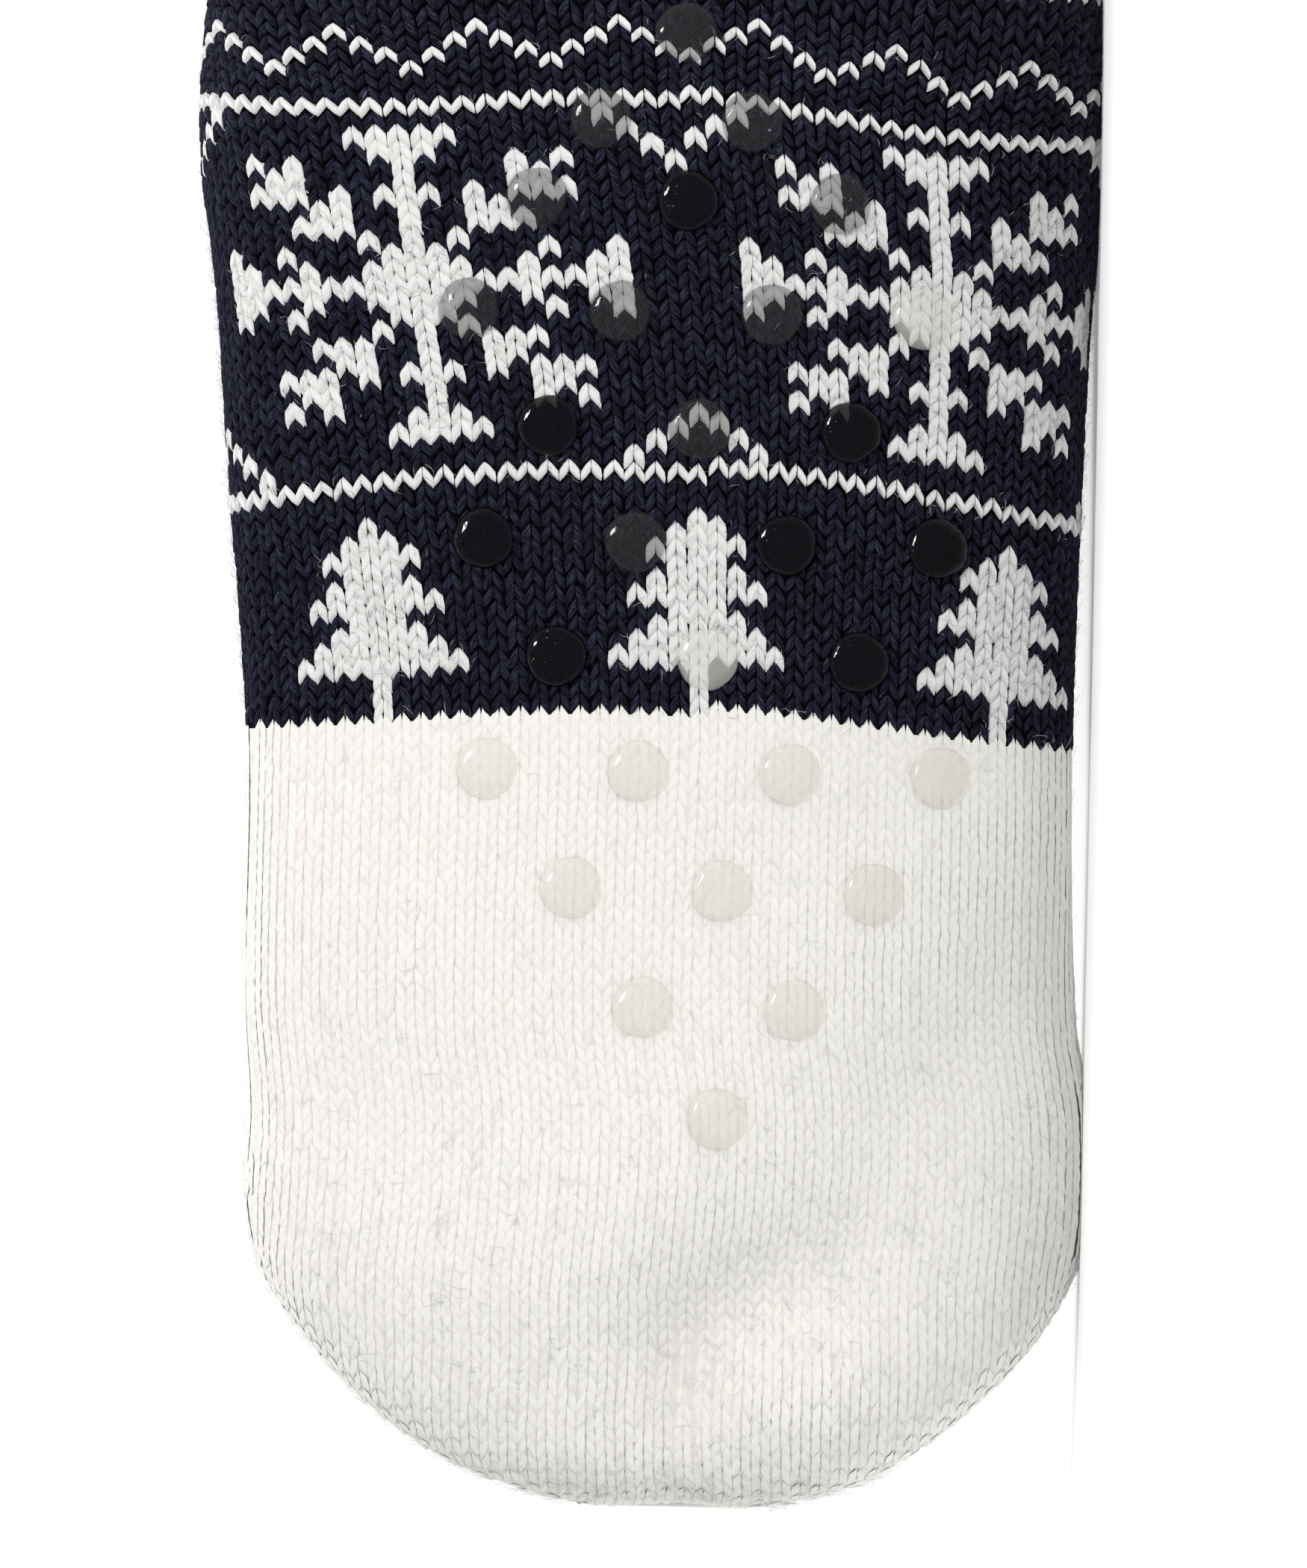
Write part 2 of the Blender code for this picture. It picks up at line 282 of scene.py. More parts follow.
class Surface:
    """The sock's outer surface, read by place along it and share around it."""

    def __init__(self):
        foot = [foot_section(row) for row in FOOT_ROWS]
        heel = [heel_section(row) for row in HEEL_ROWS]
        leg = [leg_section(row) for row in LEG_ROWS]
        sections = np.array(foot + heel + leg)
        count = (len(sections) - 1) * PLACES_PER_SECTION + 1
        self.places = np.linspace(0, len(sections) - 1, count)
        self.sections = np.array([section_at(sections, place) for place in self.places])
        rings = [ring(section, RING_COUNT) for section in self.sections]
        self.points = np.array([points for points, _girth in rings])
        self.girths = np.array([girth for _points, girth in rings])
        self.normals = self.find_normals()
        self.points = self.points + self.normals * fold_lift(self.points, self.normals)[..., None]
        self.normals = self.find_normals()

    def find_normals(self):
        """Outward directions at the points of the grid."""
        around = np.roll(self.points, -1, axis=1) - np.roll(self.points, 1, axis=1)
        forward = np.gradient(self.points, axis=0)
        normals = unit(np.cross(around, forward))
        middles = self.points.mean(axis=1, keepdims=True)
        outward = ((self.points - middles) * normals).sum(axis=2)
        return normals if outward.mean() > 0 else -normals

    def read(self, field, place, share):
        """Blend a field of the grid at places and shares around."""
        row = np.clip(place * PLACES_PER_SECTION, 0, len(self.places) - 1.001)
        low = row.astype(int)
        part = (row - low)[..., None]
        column = (share % 1) * RING_COUNT
        left = np.floor(column).astype(int) % RING_COUNT
        right = (left + 1) % RING_COUNT
        side = (column - np.floor(column))[..., None]
        near = field[low, left] * (1 - side) + field[low, right] * side
        far = field[low + 1, left] * (1 - side) + field[low + 1, right] * side
        return near * (1 - part) + far * part

    def point(self, place, share):
        """Points of the surface."""
        return self.read(self.points, place, share)

    def normal(self, place, share):
        """Outward directions of the surface."""
        found = self.read(self.normals, place, share)
        return found / np.linalg.norm(found, axis=-1, keepdims=True)

    def girth(self, place):
        """Length once around."""
        return np.interp(place, self.places, self.girths)


surface = Surface()

WALE_NUMBERS = np.arange(WALES) - WALES // 2
BOUNDARY_ALONG = COURSE_ROWS[1].along * FOOT_LENGTH
BOUNDARY_PLACE = np.interp(BOUNDARY_ALONG, surface.sections[:, 0], surface.places)
TOE_WALE_PITCH = surface.girth(BOUNDARY_PLACE) / WALES
LEG_PLACE = surface.places[-1] - 5
LEG_FADE = 3


def wale_share(wale, place, on_sole):
    """Share around at which a wale runs, for places along the sock.

    In the toe a wale keeps its width, and the wales beside the seam end there.
    """
    girth = surface.girth(place)
    pitch = np.where(place < BOUNDARY_PLACE, TOE_WALE_PITCH, girth / WALES)
    along = np.interp(place, surface.places, surface.sections[:, 0])
    table = np.array(WALE_ROWS)
    squeeze_column = 3 if wale > 0 else 2
    aside = np.interp(along, table[:, 0] * FOOT_LENGTH, table[:, 1] * FOOT_WIDTH)
    squeeze = np.interp(along, table[:, 0] * FOOT_LENGTH, table[:, squeeze_column] * FOOT_WIDTH)
    squeeze = squeeze * math.sin(2 * math.pi * wale / WALES)
    leg_fade = np.clip((LEG_PLACE - place) / LEG_FADE, 0, 1)
    shift = (aside - squeeze) * leg_fade / girth
    from_sole = -wale * pitch / girth
    wrapped = wale - np.where(wale > 0, 1, -1) * WALES / 2
    from_front = 0.5 - wrapped * pitch / girth
    return np.where(on_sole, from_sole, from_front) - shift


class Wale:
    """The path of one wale, read by its length from the toe."""

    def __init__(self, number, on_sole):
        places = surface.places
        self.shares = wale_share(number, places, on_sole)
        self.points = surface.point(places, self.shares)
        steps = np.linalg.norm(np.diff(self.points, axis=0), axis=1)
        self.lengths = np.concatenate(((0,), np.cumsum(steps)))

    def place(self, length):
        """Place along the sock at a length along the wale."""
        return np.interp(length, self.lengths, surface.places)

    def share(self, length):
        """Share around at a length along the wale."""
        return np.interp(length, self.lengths, self.shares)

    def length(self, place):
        """Length along the wale at a place along the sock."""
        return np.interp(place, surface.places, self.lengths)

    def point(self, length):
        """Points at lengths along the wale."""
        columns = [np.interp(length, self.lengths, self.points[:, axis]) for axis in range(3)]
        return np.stack(columns, axis=-1)


def on_sole_half(number):
    """True for a wale of the sole's half."""
    return abs(number) <= WALES // 4


WALE_PATHS = [Wale(number, on_sole_half(number)) for number in WALE_NUMBERS]
LEFT_PATHS = [Wale(number - 0.5, on_sole_half(number)) for number in WALE_NUMBERS]
RIGHT_PATHS = [Wale(number + 0.5, on_sole_half(number)) for number in WALE_NUMBERS]


# Share around, from the middle of the sole, that follows the sole's courses alone, and
# the share over which the front's own courses take over
SOLE_SHARE = 0.22
SIDE_SHARE = 0.26


def course_place(course, wale_index):
    """Place along the sock at which foot courses cross a wale."""
    path = WALE_PATHS[wale_index]
    table = np.array(COURSE_ROWS)
    values = [np.interp(course, table[:, 0], column) for column in table[:, 1:].T]
    along, side_drop, lean, sag = np.array(values) * FOOT_LENGTH
    middle_place = np.interp(along, surface.sections[:, 0], surface.places)
    share = np.interp(middle_place, surface.places, path.shares)
    from_sole = np.abs((share + 0.5) % 1 - 0.5)
    target = along - side_drop * (1 - np.cos(4 * np.pi * share)) / 2
    target = target + lean * np.sin(2 * np.pi * share)
    target = target - sag * (1 - np.cos(8 * np.pi * share)) / 2
    forward = path.points[:, 0] - TOE_X
    rising = np.maximum.accumulate(forward)
    keep = np.concatenate(((True,), np.diff(rising) > SHORTEST_STEP))
    sole_place = np.interp(target, rising[keep], surface.places[keep])
    front_place = np.interp(front_length(course), FRONT_PATH.lengths, surface.places)
    blend = np.clip((from_sole - SOLE_SHARE) / SIDE_SHARE, 0, 1)
    blend = blend * blend * (3 - 2 * blend)
    return sole_place * (1 - blend) + front_place * blend


FRONT_PATH = Wale(WALES / 2, False)
FRONT_START = FRONT_PATH.length(BOUNDARY_PLACE)


def front_length(course):
    """Length along the front wale at which a foot course crosses it."""
    return FRONT_START + (course + 0.5) * FRONT_PITCH


def heel_share(number):
    """Share of the heel's short courses that reach a wale."""
    full = HEEL_HALF_WALES - HEEL_FLAT_WALES
    return float(np.clip((HEEL_HALF_WALES - abs(number)) / full, 0, 1))


def jog(number):
    """How far a course has wound on at a wale, counted from the round's start."""
    steps = (number - 1) % WALES
    return JOG * (1 - steps / (WALES - 1))


CUFF_PLACE = float(np.interp(CUFF_START, surface.sections[:, 1], surface.places))

# A zone's courses: how far each one is along each wale, how tall, and which exist
Zone = namedtuple("Zone", "lengths heights exists")


# The toe: how many courses the boundary's bend takes to fade, how far around its wales
# reach from the middle of their half, and how near a stitch comes to the tip, in courses
TOE_FADE_COURSES = 30
TOE_REACH = 0.247
TIP_GAP = 0.3


def toe_zone():
    """Toe courses, counted back from the boundary, with wales ending at the seam."""
    middle = WALE_PATHS[WALES // 2]
    boundary = middle.length(BOUNDARY_PLACE)
    pitch = boundary / TOE_COURSES
    lengths = np.zeros((TOE_COURSES, WALES))
    exists = np.zeros((TOE_COURSES, WALES), bool)
    places = middle.place(boundary - (np.arange(TOE_COURSES) + 0.5) * pitch)
    for index, number in enumerate(WALE_NUMBERS):
        path = WALE_PATHS[index]
        start = course_place(np.full(TOE_COURSES, -0.5), index)
        slip = path.length(start) - path.length(BOUNDARY_PLACE)
        fade = np.clip(1 - np.arange(TOE_COURSES) / TOE_FADE_COURSES, 0, 1)
        lengths[:, index] = path.length(places) + slip * fade + jog(number) * fade
        here = path.place(lengths[:, index])
        beside = abs(number) if on_sole_half(number) else WALES // 2 - abs(number)
        reach = beside * TOE_WALE_PITCH / surface.girth(here)
        exists[:, index] = (reach < TOE_REACH) & (lengths[:, index] > TIP_GAP * pitch)
    return Zone(lengths, np.full_like(lengths, pitch), exists)


def foot_zone():
    """Foot courses, from the toe boundary to the start of the heel."""
    courses = np.arange(FOOT_COURSES).astype(float)
    lengths = np.zeros((FOOT_COURSES, WALES))
    for index, number in enumerate(WALE_NUMBERS):
        place = course_place(courses, index)
        lengths[:, index] = WALE_PATHS[index].length(place) + jog(number)
    heights = np.gradient(lengths, axis=0)
    return Zone(lengths, heights, np.ones_like(lengths, bool))


def heel_and_leg_zones(foot):
    """Short heel courses from both sides of the mitre, and the leg's courses."""
    start = foot.lengths[-1] + foot.heights[-1] / 2
    shares = np.array([heel_share(number) for number in WALE_NUMBERS])
    heel = 2 * HEEL_COURSES * HEEL_PITCH * shares
    leg_start = start + heel
    cuff = np.array([path.length(CUFF_PLACE) for path in WALE_PATHS])
    steps = (np.arange(HEEL_COURSES) + 0.5)[:, None]
    exists = steps < HEEL_COURSES * shares
    heights = np.full((HEEL_COURSES, WALES), HEEL_PITCH)
    lower = Zone(start + steps * HEEL_PITCH, heights, exists)
    upper = Zone(leg_start - steps * HEEL_PITCH, heights, exists)
    leg_pitch = (cuff - leg_start) / LEG_COURSES
    leg_lengths = leg_start + (np.arange(LEG_COURSES) + 0.5)[:, None] * leg_pitch
    leg = Zone(leg_lengths, np.tile(leg_pitch, (LEG_COURSES, 1)), np.ones_like(leg_lengths, bool))
    return lower, upper, leg


def cuff_zone():
    """Courses of the ribbed cuff."""
    start = np.array([path.length(CUFF_PLACE) for path in WALE_PATHS])
    end = np.array([path.lengths[-1] for path in WALE_PATHS])
    pitch = (end - start - CUFF_STEP) / CUFF_COURSES
    lengths = start + CUFF_STEP + (np.arange(CUFF_COURSES) + 0.5)[:, None] * pitch
    return Zone(lengths, np.tile(pitch, (CUFF_COURSES, 1)), np.ones_like(lengths, bool))


# Stitches: centre, way along the wale, way across it, way out, and wale and course
Stitches = namedtuple("Stitches", "centre up across out wale course")
MAX_TILT = 0.6


def stitches_of(zone):
    """Every stitch of a zone as arrays, courses first."""
    courses, wales = zone.lengths.shape
    shape = (courses, wales, 3)
    centre, up, across, out = (np.zeros(shape) for _ in range(4))
    for index in range(wales):
        path = WALE_PATHS[index]
        lengths = zone.lengths[:, index]
        half = zone.heights[:, index] / 2
        centre[:, index] = path.point(lengths)
        up[:, index] = path.point(lengths + half) - path.point(lengths - half)
        left = LEFT_PATHS[index]
        right = RIGHT_PATHS[index]
        place = path.place(lengths)
        across[:, index] = right.point(right.length(place)) - left.point(left.length(place))
        out[:, index] = surface.normal(place, path.share(lengths))
    slope = np.zeros((courses, wales))
    level = zone.lengths - np.array([jog(number) for number in WALE_NUMBERS])
    slope[:, 1:-1] = (level[:, 2:] - level[:, :-2]) / 2
    middle_slope = np.zeros_like(slope)
    for index in range(1, wales - 1):
        place = WALE_PATHS[index].place(zone.lengths[:, index])
        following = WALE_PATHS[index + 1].length(place)
        earlier = WALE_PATHS[index - 1].length(place)
        middle_slope[:, index] = (following - earlier) / 2
    tilt = np.clip((slope - middle_slope) / zone.heights, -MAX_TILT, MAX_TILT)
    across = across + up * tilt[..., None]
    wale = np.tile(WALE_NUMBERS, (courses, 1))
    course = np.tile(np.arange(courses)[:, None], (1, wales))
    return Stitches(centre, up, across, out, wale, course)


def pick(stitches, mask):
    """Only the stitches of a mask, as one list."""
    return Stitches(*(field[mask] for field in stitches))


def rim_stitches():
    """Chain of cast-off stitches that lies around the cuff's rim."""
    shares = (np.arange(WALES) + 0.5) / WALES
    places = np.full(WALES, surface.places[-1])
    rim = surface.point(places, shares)
    outward = surface.normal(places, shares)
    upward = unit(rim - surface.point(places - 1.0, shares))
    outward = unit(outward - upward * (outward * upward).sum(axis=1, keepdims=True))
    step = (np.roll(rim, -1, axis=0) - np.roll(rim, 1, axis=0)) / 2
    across = outward * (WALL + RIM_OVERLAP)
    centre = rim - outward * WALL / 2 + upward * RIM_RISE
    return Stitches(centre, -step, across, upward, np.arange(WALES), np.zeros(WALES))


# The charts. A motif's rows run up from its lowest course, and each row lists the
# white wales on one side of the motif's middle.
TREE = (
    (0,), (0,), (0,), (0, 1, 2, 3, 4), (0, 1, 2, 3), (0, 1, 2), (0, 1), (0, 1, 2, 3),
    (0, 1, 2), (0, 1), (0, 1, 2), (0, 1), (0,),
)
TREE_REPEAT = 16
FLAKE_HALF = (
    (0, 1, 2), (0, 1), (0, 5, 7), (0, 5, 6), (0, 1, 3, 5, 6, 7), (0, 3, 4),
    (0, 3, 4, 5), (0, 2), (0, 1, 6, 9), (0, 1, 2, 5, 8, 9), tuple(range(10)),
)
FLAKE = FLAKE_HALF + FLAKE_HALF[-2::-1]
FLAKE_REPEAT = 24
FLAKE_START = 18
LOWER_PEAK = {16: 3, 17: 2, 18: 1, 19: 0}
UPPER_PEAK = {39: 3, 38: 2, 37: 1, 36: 0}
FULL_LINES = (15, 40, 51)
ZIGZAG_START = 43
ZIGZAG_PERIOD = 6


def is_white(course, wale):
    """True where the foot's chart has a white stitch."""
    if course in FULL_LINES:
        return True
    if course < len(TREE):
        beside = abs((wale + TREE_REPEAT // 2) % TREE_REPEAT - TREE_REPEAT // 2)
        return beside in TREE[course]
    from_middle = abs((wale + FLAKE_REPEAT // 2) % FLAKE_REPEAT - FLAKE_REPEAT // 2)
    for peak in (LOWER_PEAK, UPPER_PEAK):
        if peak.get(course, -1) == from_middle:
            return True
    flake_course = course - FLAKE_START
    if 0 <= flake_course < len(FLAKE):
        return abs(wale % FLAKE_REPEAT - FLAKE_REPEAT // 2) in FLAKE[flake_course]
    step = (wale - 1) % ZIGZAG_PERIOD
    return course - ZIGZAG_START == min(step, ZIGZAG_PERIOD - step)


# One leg of a stitch, foot to point. share: along the leg. height: share of its
# full height along the wale. lift: out of the surface, as a share of the wale's width.
LegRing = namedtuple("LegRing", "share height lift")
LEG_FOOT_TIP = LegRing(share=0.0, height=0, lift=-0.04)
LEG_POINT_TIP = LegRing(share=1.0, height=0, lift=0.02)
LEG_RINGS = (
    LegRing(share=0.07, height=0.80, lift=-0.01),
    LegRing(share=0.48, height=1.00, lift=0.07),
    LegRing(share=0.93, height=0.92, lift=0.04),
)
PLAIN_LEG_RINGS = (
    LegRing(share=0.14, height=0.90, lift=0.02),
    LegRing(share=0.86, height=0.94, lift=0.06),
)
LEG_OUTLINE = ((-1.0, -0.10), (-0.60, 0.62), (0.60, 0.62), (1.0, -0.10))
TIP_OUTLINE = ((0.0, 0.3),)
LEG_FOOT = (0.50, -0.42)
LEG_POINT = (0.00, 0.38)
LEG_HALF_HEIGHT = 0.52
LEG_THICKNESS = 0.30

# How uneven the knitting is: stitches and their legs across and up, as shares of a
# stitch, a leg's height as a share of itself, and its lift. Felted yarn shows less of it.
LOOSENESS = (0.03, 0.05)
LEG_JITTER = (0.012, 0.045)
HEIGHT_JITTER = 0.07
LIFT_JITTER = 0.05 * MM
FELT_JITTER = 1.2
YARN_DEPTH = 0.40 * MM
# Each leg's fibres start anywhere along a yarn of this length, in legs
YARN_RUN = 40

# How far a yarn's legs stand out, how deep they lie, how full they are, and by how many
# degrees felting turns the shading at their edges, where 0 leaves it as it is
Yarn = namedtuple("Yarn", "relief depth fullness softness")
PLAIN_YARN = Yarn(relief=1.0, depth=0.0, fullness=1.0, softness=0)
PURL_YARN = Yarn(relief=1.0, depth=0.9 * MM, fullness=1.0, softness=0)
TOE_YARN = Yarn(relief=0.22, depth=0.0, fullness=1.30, softness=14)
MOTIF_YARN = Yarn(relief=0.62, depth=-0.02 * MM, fullness=1.12, softness=32)
MOTIF_FILLING = Yarn(relief=0.50, depth=0.02 * MM, fullness=1.30, softness=20)
LINE_YARN = Yarn(relief=0.90, depth=-0.14 * MM, fullness=0.84, softness=40)


def tube_faces(sides, rings):
    """Faces of a closed form: a point, rings of equal sides, and another point."""
    tip = 1 + sides * rings
    last = tip - sides
    triangles = []
    quads = []
    for side in range(sides):
        beside = (side + 1) % sides
        triangles.append((0, 1 + beside, 1 + side))
        triangles.append((tip, last + side, last + beside))
        for low in range(1, last, sides):
            high = low + sides
            quads.append((low + side, low + beside, high + beside, high + side))
    return np.array(triangles), np.array(quads)


def mesh_object(name, points, triangles, quads, yarn=None, tone=None, normals=None):
    """Object of many joined forms, from arrays of points and faces."""
    mesh = bpy.data.meshes.new(name)
    corners = np.concatenate((triangles.ravel(), quads.ravel())).astype(np.int32)
    sizes = np.concatenate((np.full(len(triangles), 3), np.full(len(quads), 4)))
    starts = np.concatenate(((0,), np.cumsum(sizes)[:-1])).astype(np.int32)
    mesh.vertices.add(len(points))
    mesh.vertices.foreach_set("co", np.ascontiguousarray(points, np.float32).ravel())
    mesh.loops.add(len(corners))
    mesh.loops.foreach_set("vertex_index", corners)
    mesh.polygons.add(len(sizes))
    mesh.polygons.foreach_set("loop_start", starts)
    mesh.update(calc_edges=True)
    mesh.polygons.foreach_set("use_smooth", np.ones(len(sizes), bool))
    if yarn is not None:
        layer = mesh.uv_layers.new(name="yarn")
        layer.uv.foreach_set("vector", yarn[corners].astype(np.float32).ravel())
    if tone is not None:
        layer = mesh.attributes.new("tone", "FLOAT", "POINT")
        layer.data.foreach_set("value", tone.astype(np.float32))
    mesh.validate()
    if normals is not None and np.abs(normals).max() > 0:
        mesh.normals_split_custom_set_from_vertices(normals)
    made = bpy.data.objects.new(name, mesh)
    bpy.context.collection.objects.link(made)
    return made


def above_floor(points):
    """Yarn that meets the floor is pressed flat on it."""
    pressed = points.copy()
    pressed[..., 2] = np.maximum(pressed[..., 2], 0)
    return pressed


def leg_points(stitches, side, rings, yarn):
    """Points, yarn coordinates, tones and shading normals of the legs on one side."""
    count = len(stitches.centre)
    pitch = np.linalg.norm(stitches.across, axis=1)[:, None]
    jitter = chance.normal(0, 1, (count, 6)) * min(1, yarn.relief * FELT_JITTER)
    foot = np.array((side * LEG_FOOT[0], LEG_FOOT[1])) + jitter[:, 0:2] * LEG_JITTER
    point = np.array((side * LEG_POINT[0], LEG_POINT[1])) + jitter[:, 2:4] * LEG_JITTER
    half_height = LEG_HALF_HEIGHT * yarn.fullness * (1 + HEIGHT_JITTER * jitter[:, 4:5])
    thick = pitch * LEG_THICKNESS * yarn.relief
    raised = LIFT_JITTER * jitter[:, 5:6] - yarn.depth
    upward = unit(stitches.up)
    start = chance.uniform(0, YARN_RUN, (count, 2))
    spots, coordinates, normals = [], [], []
    for row in (LEG_FOOT_TIP,) + rings + (LEG_POINT_TIP,):
        spot = foot + (point - foot) * row.share
        middle = stitches.centre + stitches.across * spot[:, :1] + stitches.up * spot[:, 1:]
        middle = middle + stitches.out * (row.lift * pitch * yarn.relief + raised)
        outline = LEG_OUTLINE if row.height else TIP_OUTLINE
        for number, (above, outward) in enumerate(outline):
            shift = stitches.up * above * half_height * row.height
            spots.append(middle + shift + stitches.out * outward * thick)
            coordinates.append(start + (row.share, number / len(LEG_OUTLINE)))
            turn = math.radians(yarn.softness) * above
            normals.append(stitches.out * math.cos(turn) + upward * math.sin(turn))
    points = np.stack(spots, axis=1) - stitches.out[:, None] * YARN_DEPTH * yarn.relief
    tone = np.repeat(chance.uniform(0, 1, count), points.shape[1])
    normals = np.stack(normals, axis=1) * (yarn.softness > 0)
    return above_floor(points), np.stack(coordinates, axis=1), tone, normals


def joined(forms):
    """One mesh's arrays from forms of points, yarn, tone, normals, triangles and quads."""
    points, yarn, tone, normals, triangles, quads = [], [], [], [], [], []
    offset = 0
    for form_points, form_yarn, form_tone, form_normals, form_triangles, form_quads in forms:
        count, size = form_points.shape[:2]
        shifts = (np.arange(count) * size + offset)[:, None, None]
        triangles.append((form_triangles[None] + shifts).reshape(-1, 3))
        quads.append((form_quads[None] + shifts).reshape(-1, 4))
        points.append(form_points.reshape(-1, 3))
        yarn.append(form_yarn.reshape(-1, 2))
        tone.append(form_tone)
        normals.append(form_normals.reshape(-1, 3))
        offset += count * size
    return tuple(np.concatenate(part) for part in (points, triangles, quads, yarn, tone, normals))


def stitch_forms(stitches, rings=LEG_RINGS, yarn=PLAIN_YARN):
    """Both legs of every stitch, each stitch a little off its place."""
    forms = []
    loose = chance.normal(0, 1, (len(stitches.centre), 2)) * LOOSENESS
    shift = stitches.across * loose[:, :1] + stitches.up * loose[:, 1:]
    stitches = stitches._replace(centre=stitches.centre + shift)
    for side in (-1, 1):
        triangles, quads = tube_faces(len(LEG_OUTLINE), len(rings))
        if side < 0:
            triangles, quads = triangles[:, ::-1], quads[:, ::-1]
        forms.append((*leg_points(stitches, side, rings, yarn), triangles, quads))
    return forms


def knit_piece(name, forms, finish):
    """One joined piece of stitches that rides with the sock."""
    points, triangles, quads, yarn, tone, normals = joined(forms)
    piece = mesh_object(name, points, triangles, quads, yarn, tone, normals)
    piece.data.materials.append(finish)
    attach(piece, "root")


class Nodes:
    """Short way to build a material from nodes."""

    def __init__(self, name):
        self.material = bpy.data.materials.new(name)
        self.material.use_nodes = True
        self.tree = self.material.node_tree
        self.shader = self.tree.nodes["Principled BSDF"]

    def put(self, node, **values):
        """Set plain sockets of a node by name."""
        for key, value in values.items():
            node.inputs[key.replace("_", " ")].default_value = value
        return node

    def add(self, kind, **values):
        """Add a node and set its plain sockets by name."""
        return self.put(self.tree.nodes.new(kind), **values)

    def link(self, start, output, end, socket):
        """Join one node's output to another's socket."""
        self.tree.links.new(start.outputs[output], end.inputs[socket])

    def ramp(self, source, output, stops):
        """Colours over a value, from two stops of position and colour."""
        ramp = self.add("ShaderNodeValToRGB")
        for element, (position, color) in zip(ramp.color_ramp.elements, stops):
            element.position = position
            element.color = (*color, 1)
        self.link(source, output, ramp, "Fac")
        return ramp

    def bump(self, source, output, strength, distance, under=None):
        """Bump from a value, over another bump or alone, that the shader takes."""
        bump = self.add("ShaderNodeBump", Strength=strength, Distance=distance)
        self.link(source, output, bump, "Height")
        if under is not None:
            self.link(under, "Normal", bump, "Normal")
        self.link(bump, "Normal", self.shader, "Normal")
        return bump


def wool(name, dark, light, span, fuzz_color, fuzz, grain, spread):
    """Soft plied wool: streaks of fibre along the yarn, a slight twist and fuzz. Where the light
    colour is far above the dark one, as in the navy, the streaks are painted fibre highlights as
    well as fibre tone.
    """
    nodes = Nodes(name)
    place = nodes.add("ShaderNodeUVMap")
    place.uv_map = "yarn"
    stretch = nodes.add("ShaderNodeMapping", Rotation=(0, 0, 0.30), Scale=(1.6, 20.0, 1.0))
    nodes.link(place, "UV", stretch, "Vector")
    fibres = nodes.add("ShaderNodeTexNoise", Scale=1.0, Detail=3.0, Roughness=0.65)
    nodes.link(stretch, "Vector", fibres, "Vector")
    streaks = nodes.ramp(fibres, "Fac", ((span[0], dark), (span[1], light)))
    tone = nodes.add("ShaderNodeAttribute")
    tone.attribute_name = "tone"
    scale = nodes.add("ShaderNodeMapRange", To_Min=1 - spread, To_Max=1 + spread)
    nodes.link(tone, "Fac", scale, "Value")
    tinted = nodes.add("ShaderNodeVectorMath")
    tinted.operation = "SCALE"
    nodes.link(streaks, "Color", tinted, 0)
    nodes.link(scale, "Result", tinted, "Scale")
    nodes.link(tinted, "Vector", nodes.shader, "Base Color")
    nodes.bump(fibres, "Fac", grain, 0.35 * MM)
    nodes.put(nodes.shader, Roughness=0.95, Specular_IOR_Level=0.12, Sheen_Weight=fuzz,
              Sheen_Roughness=0.45, Sheen_Tint=(*fuzz_color, 1))
    return nodes.material


def backing(name, color):
    """Matt wool deep between the stitches."""
    nodes = Nodes(name)
    place = nodes.add("ShaderNodeTexCoord")
    grain = nodes.add("ShaderNodeTexNoise", Scale=900.0, Detail=3.0)
    nodes.link(place, "Object", grain, "Vector")
    shaded = [0.85 * part for part in color]
    shades = nodes.ramp(grain, "Fac", ((0, shaded), (1, color)))
    nodes.link(shades, "Color", nodes.shader, "Base Color")
    nodes.bump(grain, "Fac", 0.6, 0.3 * MM)
    nodes.put(nodes.shader, Roughness=1.0, Specular_IOR_Level=0.1)
    return nodes.material


def silicone(name, color, cover, refraction):
    """Clear silicone, glossy outside, tinted by the knitting that soaks it up beneath."""
    nodes = Nodes(name)
    place = nodes.add("ShaderNodeTexCoord")
    ripple = nodes.add("ShaderNodeTexNoise", Scale=520.0, Detail=1.0)
    nodes.link(place, "Object", ripple, "Vector")
    bubbles = nodes.add("ShaderNodeTexVoronoi", Scale=1700.0)
    nodes.link(place, "Object", bubbles, "Vector")
    pits = nodes.ramp(bubbles, "Distance", ((0.10, (1, 1, 1)), (0.22, (0, 0, 0))))
    waves = nodes.bump(ripple, "Fac", 0.30, 0.4 * MM)
    nodes.bump(pits, "Color", 0.35, 0.1 * MM, under=waves)
    nodes.put(nodes.shader, Base_Color=(*color, 1), Alpha=cover, Roughness=0.07,
              Specular_IOR_Level=0.40, IOR=refraction)
    return nodes.material


white_fibre = backing("white_fibre", (0.88, 0.865, 0.82))
blue_fibre = backing("blue_fibre", (0.050, 0.055, 0.090))
NAVY_DARK = (0.0026, 0.0024, 0.0062)
# The navy's light streak colour is partly the fibres' own tone and partly painted fibre highlights
# on the near-black yarn
NAVY_FIBRE_AND_HIGHLIGHT = (0.062, 0.068, 0.125)
WHITE_DARK = (0.72, 0.71, 0.69)
WHITE_LIGHT = (0.82, 0.81, 0.795)
CREAM_DARK = (0.85, 0.832, 0.775)
CREAM_LIGHT = (0.90, 0.885, 0.835)
PALE_FUZZ = (1.0, 0.98, 0.95)
BLUE_FUZZ = (0.60, 0.65, 0.80)
